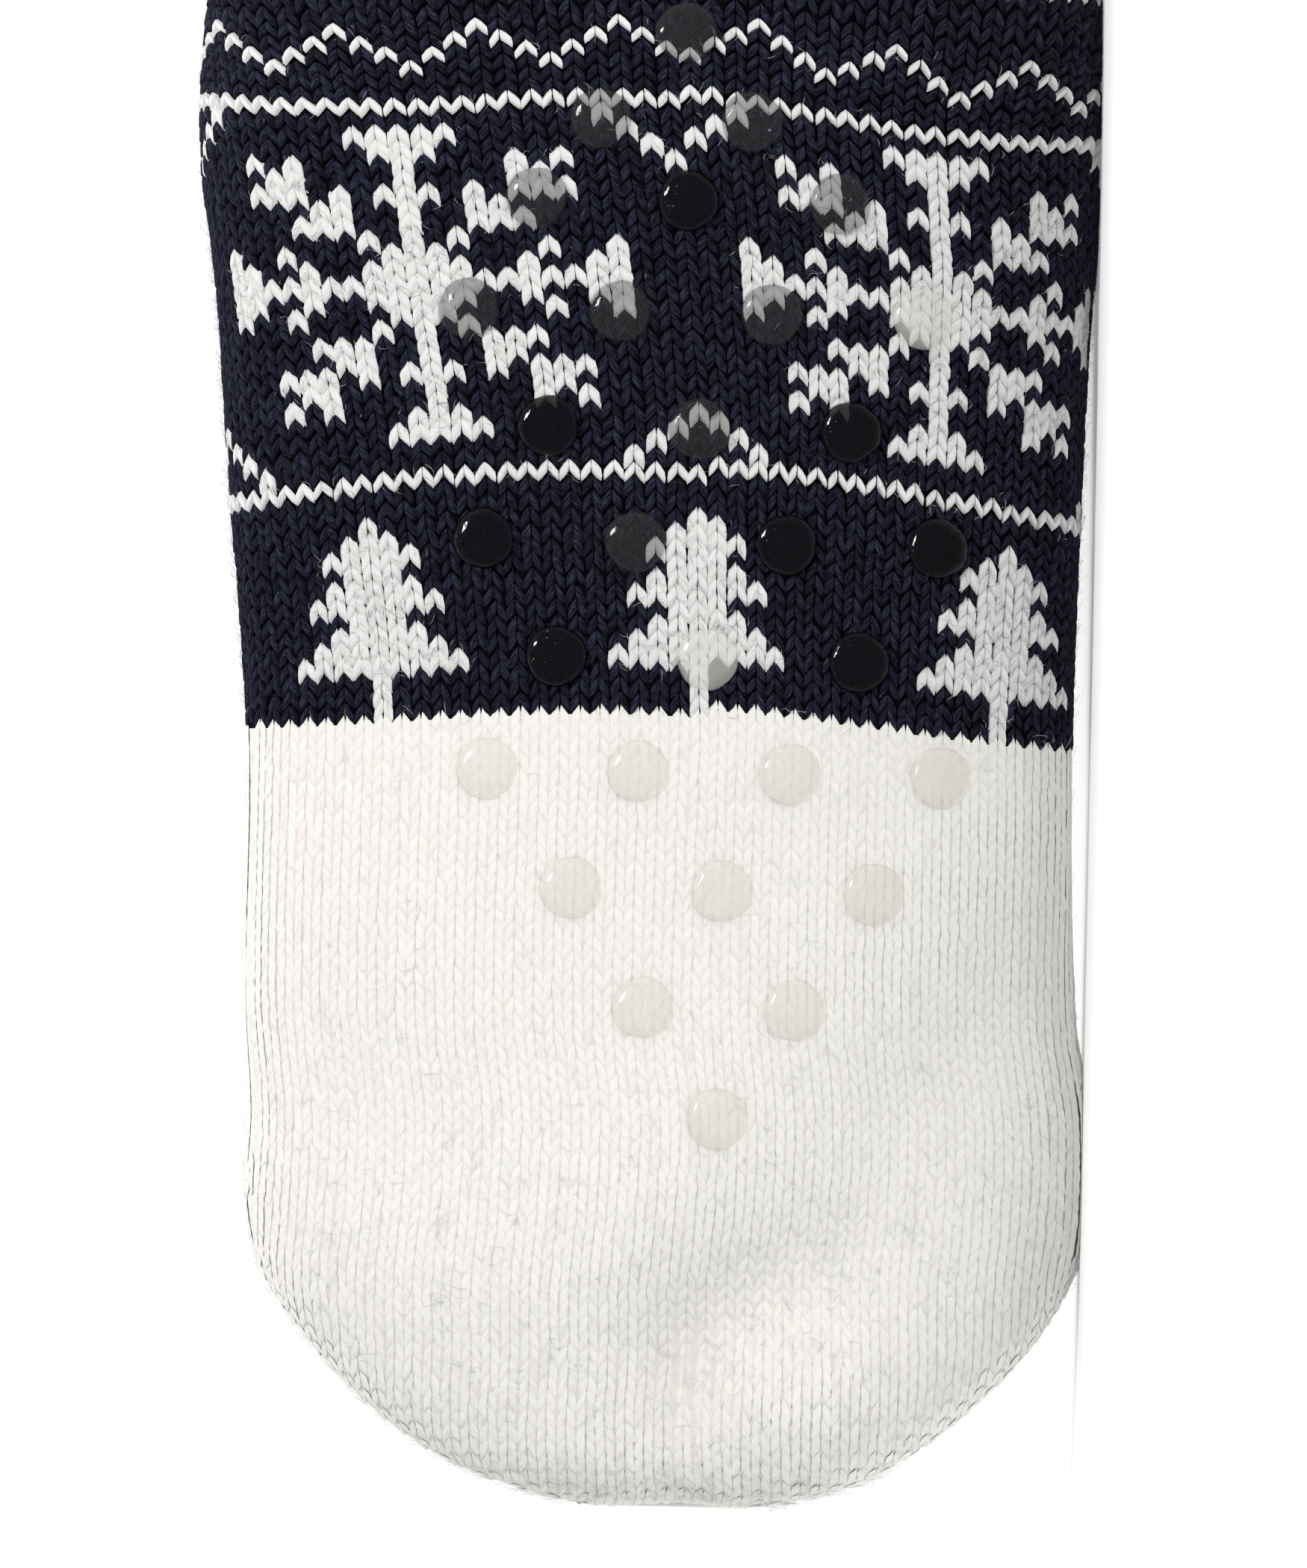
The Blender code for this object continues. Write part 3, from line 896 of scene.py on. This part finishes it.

# The navy wool's bright streaks are painted fibre highlights as well as fibre tone
navy_wool = wool("navy_wool", NAVY_DARK, NAVY_FIBRE_AND_HIGHLIGHT, (0.44, 0.80), BLUE_FUZZ, 0.03, 0.55, 0.35)
white_wool = wool("white_wool", WHITE_DARK, WHITE_LIGHT, (0.30, 0.60), PALE_FUZZ, 0.10, 0.30, 0.04)
cream_wool = wool("cream_wool", CREAM_DARK, CREAM_LIGHT, (0.30, 0.60), PALE_FUZZ, 0.10, 0.22, 0.02)
navy_back = backing("navy_backing", (0.004, 0.004, 0.007))
cream_back = backing("cream_backing", (0.86, 0.842, 0.785))
lining_wool = backing("lining_wool", (0.62, 0.60, 0.55))
dark_silicone = silicone("clear_silicone", (0.004, 0.004, 0.006), 0.80, 1.46)
motif_silicone = silicone("clear_silicone_on_motif", (0.05, 0.05, 0.05), 0.36, 1.65)
cream_silicone = silicone("clear_silicone_on_cream", (0.93, 0.91, 0.82), 0.36, 1.65)


def make_toe():
    """Cream stitches of the toe, felted soft, in two pieces."""
    zone = toe_zone()
    stitches = stitches_of(zone)
    on_sole = np.abs(stitches.wale) <= WALES // 4
    for name, half in (("toe_sole_stitches", on_sole), ("toe_top_stitches", ~on_sole)):
        forms = stitch_forms(pick(stitches, zone.exists & half), PLAIN_LEG_RINGS, TOE_YARN)
        knit_piece(name, forms, cream_wool)


FOOT_ZONE = foot_zone()
FOOT_STITCHES = stitches_of(FOOT_ZONE)
WHITE_IN_FOOT = np.vectorize(is_white)(FOOT_STITCHES.course, FOOT_STITCHES.wale)


def make_foot():
    """Navy ground, filled white motifs and thin white lines of the foot."""
    navy = pick(FOOT_STITCHES, ~WHITE_IN_FOOT)
    knit_piece("foot_navy_stitches", stitch_forms(navy), navy_wool)
    course = FOOT_STITCHES.course
    in_line = np.isin(course, FULL_LINES) | (course >= ZIGZAG_START)
    motif = pick(FOOT_STITCHES, WHITE_IN_FOOT & ~in_line)
    line = pick(FOOT_STITCHES, WHITE_IN_FOOT & in_line)
    forms = stitch_forms(motif, LEG_RINGS, MOTIF_YARN)
    forms += stitch_forms(motif, PLAIN_LEG_RINGS, MOTIF_FILLING)
    forms += stitch_forms(line, LEG_RINGS, LINE_YARN)
    knit_piece("foot_white_stitches", forms, white_wool)


def make_heel_and_leg():
    """Navy stitches of the heel's short courses and of the leg."""
    lower, upper, leg = heel_and_leg_zones(FOOT_ZONE)
    forms = []
    for zone in (lower, upper):
        forms += stitch_forms(pick(stitches_of(zone), zone.exists), PLAIN_LEG_RINGS)
    knit_piece("heel_stitches", forms, navy_wool)
    forms = stitch_forms(pick(stitches_of(leg), leg.exists), PLAIN_LEG_RINGS)
    knit_piece("leg_stitches", forms, navy_wool)


def make_cuff():
    """Cream ribs, two wales out and two wales in, and the chain on the rim."""
    stitches = stitches_of(cuff_zone())
    rib = (stitches.wale % 4) < 2
    forms = stitch_forms(pick(stitches, rib), PLAIN_LEG_RINGS)
    forms += stitch_forms(pick(stitches, ~rib), PLAIN_LEG_RINGS, PURL_YARN)
    knit_piece("cuff_rib_stitches", forms, cream_wool)
    knit_piece("cuff_edge_chain", stitch_forms(rim_stitches()), cream_wool)


# Stray fibres that lie on the knitting. stand: how high they stand up from it.
Fuzz = namedtuple("Fuzz", "name count length radius stand color slot")
TOE_FUZZ = Fuzz("toe_fuzz", 3800, 2.0 * MM, 0.020 * MM, 0.30 * MM, white_fibre, "white_wool")
FOOT_FUZZ = Fuzz("foot_fuzz", 8000, 1.7 * MM, 0.018 * MM, 0.40 * MM, blue_fibre, "navy_wool")
LEG_FUZZ = Fuzz("leg_fuzz", 1700, 2.0 * MM, 0.022 * MM, 0.40 * MM, blue_fibre, "navy_wool")
CUFF_FUZZ = Fuzz("cuff_fuzz", 1000, 2.2 * MM, 0.022 * MM, 0.35 * MM, white_fibre, "white_wool")
MOTIF_FUZZ = Fuzz("motif_fuzz", 3400, 1.5 * MM, 0.018 * MM, 0.28 * MM, white_fibre, "white_wool")

# A fibre's stops from root to tip: share of its length, and of its bow and stand
FibreStop = namedtuple("FibreStop", "share bow raised")
FIBRE_STOPS = (
    FibreStop(share=0.00, bow=0.0, raised=0.1),
    FibreStop(share=0.35, bow=0.8, raised=0.6),
    FibreStop(share=0.70, bow=0.8, raised=1.0),
    FibreStop(share=1.00, bow=0.0, raised=0.0),
)
FIBRE_SIDES = 3
FIBRE_LIFT = 0.05 * MM

# How much fibres vary: turn in radians, the rest in shares of their length and stand
FIBRE_TURN = 0.9
FIBRE_BOW = 0.25
FIBRE_LENGTHS = (0.4, 1.5)
FIBRE_STANDS = (-0.3, 1.5)
TIP_STAND = 0.7

# Share of the fibres that lie on the sole alone, how far those of the motifs stray in
# shares of a stitch, and the places between which the foot's and the toe's lie
SOLE_FIBRES = 0.35
MOTIF_SPREAD = 0.45
TOE_FUZZ_START = 0.5
HEEL_PLACE = 11.5
FORWARD_STEP = 0.05


def lay_fibres(kind, root, out, forward):
    """One piece of thin curved fibres, each one a closed tapered tube at its root."""
    count = len(root)
    side = np.cross(out, forward)
    turn = chance.normal(0, FIBRE_TURN, count)[:, None]
    way = forward * np.cos(turn) + side * np.sin(turn)
    cross_way = np.cross(out, way)
    bend = cross_way * chance.normal(0, FIBRE_BOW, count)[:, None]
    length = kind.length * chance.uniform(*FIBRE_LENGTHS, count)[:, None]
    stand = kind.stand * chance.uniform(*FIBRE_STANDS, count)[:, None]
    tip_stand = kind.stand * chance.exponential(TIP_STAND, count)[:, None]
    spots = []
    for stop in FIBRE_STOPS:
        spot = root + way * length * (stop.share - 0.5) + bend * length * stop.bow
        spots.append(spot + out * (FIBRE_LIFT + stand * stop.raised + tip_stand * stop.share))
    points = [spots[0]]
    for middle in spots[1:-1]:
        for angle in np.arange(FIBRE_SIDES) * 2 * math.pi / FIBRE_SIDES:
            rim = cross_way * math.cos(angle) + out * math.sin(angle)
            points.append(middle + rim * kind.radius)
    points.append(spots[-1])
    points = above_floor(np.stack(points, axis=1))
    tone = np.repeat(chance.uniform(0, 1, count), points.shape[1])
    faces = tube_faces(FIBRE_SIDES, len(FIBRE_STOPS) - 2)
    form = (points, np.zeros(points.shape[:2] + (2,)), tone, np.zeros_like(points), *faces)
    knit_piece(kind.name, [form], kind.color)


def scatter_fibres(kind, first, last):
    """Fibres around the sock between two places along it."""
    places = chance.uniform(first, last, kind.count)
    shares = chance.uniform(0, 1, kind.count)
    on_sole = chance.uniform(0, 1, kind.count) < SOLE_FIBRES
    shares = np.where(on_sole, (shares - 0.5) * 0.5, shares)
    root = surface.point(places, shares)
    forward = unit(surface.point(places + FORWARD_STEP, shares) - root)
    lay_fibres(kind, root, surface.normal(places, shares), forward)


def make_fuzz():
    """Stray fibres over each part, and white ones around the motifs."""
    scatter_fibres(TOE_FUZZ, TOE_FUZZ_START, BOUNDARY_PLACE)
    scatter_fibres(FOOT_FUZZ, BOUNDARY_PLACE, HEEL_PLACE)
    scatter_fibres(LEG_FUZZ, HEEL_PLACE, CUFF_PLACE)
    scatter_fibres(CUFF_FUZZ, CUFF_PLACE, surface.places[-1])
    whites = pick(FOOT_STITCHES, WHITE_IN_FOOT)
    chosen = chance.integers(0, len(whites.centre), MOTIF_FUZZ.count)
    aside, along = chance.normal(0, MOTIF_SPREAD, (2, MOTIF_FUZZ.count, 1))
    root = whites.centre[chosen] + whites.across[chosen] * aside + whites.up[chosen] * along
    lay_fibres(MOTIF_FUZZ, root, whites.out[chosen], unit(whites.up[chosen]))


TOE_BACK_DEPTH = 0.04 * MM
BACK_DEPTH = 0.55 * MM
CUFF_BACK_DEPTH = 1.30 * MM
BACK_RINGS = 140
TOE_BACK_RINGS = 44
BACK_SIDES = 96
BACK_END_COURSE = -0.75
BACK_STEP = 0.02


def toe_end_places(shares):
    """Places around the sock at which the cream backing ends, a little below the navy."""
    spots = []
    for index, number in enumerate(WALE_NUMBERS):
        path = WALE_PATHS[index]
        start = course_place(np.array((BACK_END_COURSE,)), index)
        length = path.length(start) + jog(number)
        spots.append((float(path.share(length)[0]) % 1, float(path.place(length)[0])))
    spots.sort()
    table = np.array(spots)
    return np.interp(shares, table[:, 0], table[:, 1], period=1)


def wall_faces():
    """Outward faces of one skin: rings to the rim, and strips that close the toe end."""
    quads = []
    for row in range(0, (BACK_RINGS - 1) * BACK_SIDES, BACK_SIDES):
        for side in range(BACK_SIDES):
            low, beside = row + side, row + (side + 1) % BACK_SIDES
            quads.append((low + BACK_SIDES, beside + BACK_SIDES, beside, low))
    triangles = [(1, BACK_SIDES - 1, 0)]
    for side in range(1, BACK_SIDES // 2):
        near, far = BACK_SIDES - side, BACK_SIDES - side - 1
        if side + 1 < far:
            quads.append((side + 1, far, near, side))
        else:
            triangles.append((side + 1, near, side))
    return np.array(triangles), np.array(quads)


def make_backing():
    """Closed wall under the stitches: knit backing outside, soft lining inside."""
    shares = np.arange(BACK_SIDES) / BACK_SIDES
    toe_ends = toe_end_places(shares)
    toe_rows = np.linspace(0, 1, TOE_BACK_RINGS)[:, None] * toe_ends
    starts = toe_ends + BACK_STEP
    steps = np.linspace(0, 1, BACK_RINGS - TOE_BACK_RINGS)[:, None]
    place_grid = np.concatenate((toe_rows, starts + steps * (surface.places[-1] - starts)))
    share_grid = np.tile(shares, (BACK_RINGS, 1))
    points = surface.point(place_grid, share_grid)
    normals = surface.normal(place_grid, share_grid)
    in_cuff = points[..., 1] - SOLE_Y > CUFF_START
    depth = np.where(in_cuff, CUFF_BACK_DEPTH, BACK_DEPTH)
    depth[:TOE_BACK_RINGS] = TOE_BACK_DEPTH
    outer = points - normals * depth[..., None]
    inner = points - normals * WALL
    inner[..., 0] = np.maximum(inner[..., 0], TOE_X + WALL)
    outer = above_floor(outer)
    count = BACK_RINGS * BACK_SIDES
    outer_triangles, outer_quads = wall_faces()
    side = np.arange(count - BACK_SIDES, count)
    beside = np.roll(side, -1)
    rim = np.column_stack((count + side, count + beside, beside, side))
    inner_quads = np.roll(outer_quads[:, ::-1], -1, axis=1) + count
    triangles = np.concatenate((outer_triangles, outer_triangles[:, ::-1] + count))
    quads = np.concatenate((outer_quads, inner_quads, rim))
    all_points = np.concatenate((outer.reshape(-1, 3), inner.reshape(-1, 3)))
    piece = mesh_object("sock_backing", all_points, triangles, quads)
    # The cream finish is first, so faces start as cream
    for finish in (cream_back, navy_back, lining_wool):
        piece.data.materials.append(finish)
    toe_count = (TOE_BACK_RINGS - 1) * BACK_SIDES
    for face in piece.data.polygons:
        lowest = min(face.vertices)
        in_cuff = face.center[1] - SOLE_Y > CUFF_START
        if lowest >= count:
            face.material_index = 2
        elif lowest >= toe_count and not in_cuff:
            face.material_index = 1
    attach(piece, "root")
    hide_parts("knitted_sock")


# A dot's dome, foot to crown: radius and height as shares of its own
DOME_ROWS = (
    (1.00, -0.55), (1.03, -0.12), (1.00, 0.18), (0.95, 0.38), (0.86, 0.57), (0.72, 0.76),
    (0.54, 0.89), (0.30, 0.97),
)
DOME_SIDES = 32
DOME_ROOT = -0.55
WIDE_WOBBLE = 0.018
FINE_WOBBLE = 0.010
DOT_SEAT = 0.3 * MM

# Reach of the silicone in dot widths, and the shares of white stitches beneath a dot
# over which it looks cream or half clear
SOAKED_SHARE = 0.48
CREAM_SHARE = 0.72
MOTIF_SHARE = 0.12


def dot_finish(spot):
    """Silicone finish by what lies under a dot: cream toe, navy, or part of a motif."""
    if spot[0] - TOE_X < BOUNDARY_ALONG - DOT_DIAMETER / 4:
        return cream_silicone
    near = np.linalg.norm(FOOT_STITCHES.centre - spot, axis=-1) < DOT_DIAMETER * SOAKED_SHARE
    share = WHITE_IN_FOOT[near].mean()
    if share > CREAM_SHARE:
        return cream_silicone
    return motif_silicone if share > MOTIF_SHARE else dark_silicone


def dome_points(spot, out):
    """Points of one dome, from below its foot to its crown, a little out of round."""
    side = unit(np.cross(out, (0, 0, 1.0)))
    other = np.cross(out, side)
    turns = np.linspace(0, 2 * np.pi, DOME_SIDES, endpoint=False)
    wobble = 1 + WIDE_WOBBLE * np.sin(turns * 3 + chance.uniform(0, 6))
    wobble = wobble + FINE_WOBBLE * np.sin(turns * 7)
    around = np.cos(turns)[:, None] * side + np.sin(turns)[:, None] * other
    points = [spot + out * DOT_HEIGHT * DOME_ROOT]
    for radius, height in DOME_ROWS:
        reach = radius * DOT_DIAMETER / 2 * wobble[:, None]
        points.extend(spot + around * reach + out * (DOT_HEIGHT * height + DOT_SEAT))
    points.append(spot + out * (DOT_HEIGHT + DOT_SEAT))
    return np.array(points)


def make_dots():
    """Finer domes in the places of the grip dots, sunk between the stitches."""
    triangles, quads = tube_faces(DOME_SIDES, len(DOME_ROWS))
    faces_up = surface.normals[..., 1] > 0
    dots = sorted(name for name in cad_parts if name.startswith("grip_dot_"))
    for name in dots:
        low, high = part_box(name)
        along, _depth, across = (Vector(low) + Vector(high)) / 2
        gaps = np.linalg.norm(surface.points[..., (0, 2)] - (along, across), axis=2)
        nearest = np.unravel_index((gaps + faces_up).argmin(), gaps.shape)
        spot = surface.points[nearest].copy()
        spot[[0, 2]] = (along, across)
        points = dome_points(spot, surface.normals[nearest])
        piece = mesh_object("clear_" + name, points, triangles, quads)
        finish = dot_finish(spot)
        piece.data.materials.append(finish)
        piece.visible_shadow = finish != cream_silicone
        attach(piece, "root")
        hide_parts(name)


# The photo's frame, its scale on the sole, and three of its pixels: two on the sock's
# straight edge and one at the toe's tip
EDGE_LOW = (1448.0, 1620.0)
EDGE_HIGH = (1482.0, 60.0)
TOE_TIP = (880.0, 2021.0)
PIXEL = 0.0898 * MM
PHOTO_WIDTH, PHOTO_HEIGHT = 1750, 2100
CAMERA_DISTANCE = 1.5
SENSOR_HEIGHT = 36
AIM_HEIGHT = 0.05
# Depth of the sole's edges behind its lowest point, where the photo's scale was measured
SHARP_DEPTH = 8 * MM


def pixel_place(x, y):
    """Along and across of a photo pixel, in the sock's own lengths."""
    heelward = unit(np.subtract(EDGE_HIGH, EDGE_LOW))
    upward = np.array((heelward[1], -heelward[0]))
    along = np.subtract((x, y), TOE_TIP) @ heelward * PIXEL
    across = np.subtract((x, y), EDGE_LOW) @ upward * PIXEL
    return along, across, heelward


def make_camera():
    """Camera straight onto the sole, rolled so that the toe points down."""
    along, across, heelward = pixel_place(PHOTO_WIDTH / 2, PHOTO_HEIGHT / 2)
    camera = bpy.data.cameras.new("camera")
    camera.sensor_fit = "VERTICAL"
    camera.sensor_height = SENSOR_HEIGHT
    camera.lens = SENSOR_HEIGHT * CAMERA_DISTANCE / (PHOTO_HEIGHT * PIXEL)
    camera.clip_end = 20
    made = bpy.data.objects.new("camera", camera)
    up = Vector((-heelward[1], 0, heelward[0]))
    back = Vector((0, -1, 0))
    right = up.cross(back)
    turned = Matrix((right, up, back)).transposed().to_4x4()
    spot = Vector((TOE_X + along, SOLE_Y + SHARP_DEPTH - CAMERA_DISTANCE, across))
    made.matrix_world = Matrix.Translation(spot) @ turned
    bpy.context.collection.objects.link(made)
    bpy.context.scene.camera = made


def area_light(name, spot, size, power):
    """Square soft light aimed at the middle of the sole."""
    light = bpy.data.lights.new(name, "AREA")
    light.size = size
    light.energy = power
    made = bpy.data.objects.new(name, light)
    made.location = spot
    aim = Vector((0, SOLE_Y, AIM_HEIGHT)) - Vector(spot)
    made.rotation_euler = aim.to_track_quat("-Z", "Y").to_euler()
    bpy.context.collection.objects.link(made)


FLOOR_REACH = 1.0
# The room's brightness in front of the sock and behind it, and how soon it changes
ROOM_FRONT = 0.16
ROOM_BACK = 1.0
ROOM_TURN = 0.6


def make_floor():
    """Pale matt floor, a little lit by itself."""
    nodes = Nodes("pale_floor")
    nodes.put(nodes.shader, Base_Color=(0.82, 0.82, 0.82, 1), Roughness=1.0, Specular_IOR_Level=0.0,
              Emission_Color=(1, 1, 1, 1), Emission_Strength=0.28)
    corners = np.array(((-1, -1, 0), (1, -1, 0), (1, 1, 0), (-1, 1, 0))) * FLOOR_REACH
    floor = mesh_object("floor", corners, np.zeros((0, 3), int), np.array(((0, 1, 2, 3),)))
    floor.data.materials.append(nodes.material)
    floor.visible_glossy = False


def make_room():
    """Plain surroundings, white behind the sock and dim in front, where the sole looks."""
    world = bpy.data.worlds.new("white_room")
    world.use_nodes = True
    tree = world.node_tree
    background = tree.nodes["Background"]
    background.inputs["Color"].default_value = (1, 1, 1, 1)
    direction = tree.nodes.new("ShaderNodeTexCoord")
    parts = tree.nodes.new("ShaderNodeSeparateXYZ")
    strength = tree.nodes.new("ShaderNodeMapRange")
    strength.inputs["From Min"].default_value = -ROOM_TURN
    strength.inputs["From Max"].default_value = ROOM_TURN
    strength.inputs["To Min"].default_value = ROOM_FRONT
    strength.inputs["To Max"].default_value = ROOM_BACK
    tree.links.new(direction.outputs["Generated"], parts.inputs["Vector"])
    tree.links.new(parts.outputs["Y"], strength.inputs["Value"])
    tree.links.new(strength.outputs["Result"], background.inputs["Strength"])
    bpy.context.scene.world = world


def make_stage():
    """Floor, surroundings and two soft lights."""
    make_floor()
    make_room()
    area_light("key", (0.55, -0.95, 1.10), 0.30, 14)
    area_light("back", (-0.2, 0.8, 1.5), 1.8, 14)
    bpy.context.scene.view_settings.view_transform = "Standard"
    bpy.context.scene.cycles.diffuse_bounces = 1


make_camera()
make_toe()
make_foot()
make_heel_and_leg()
make_cuff()
make_fuzz()
make_backing()
make_dots()
make_stage()
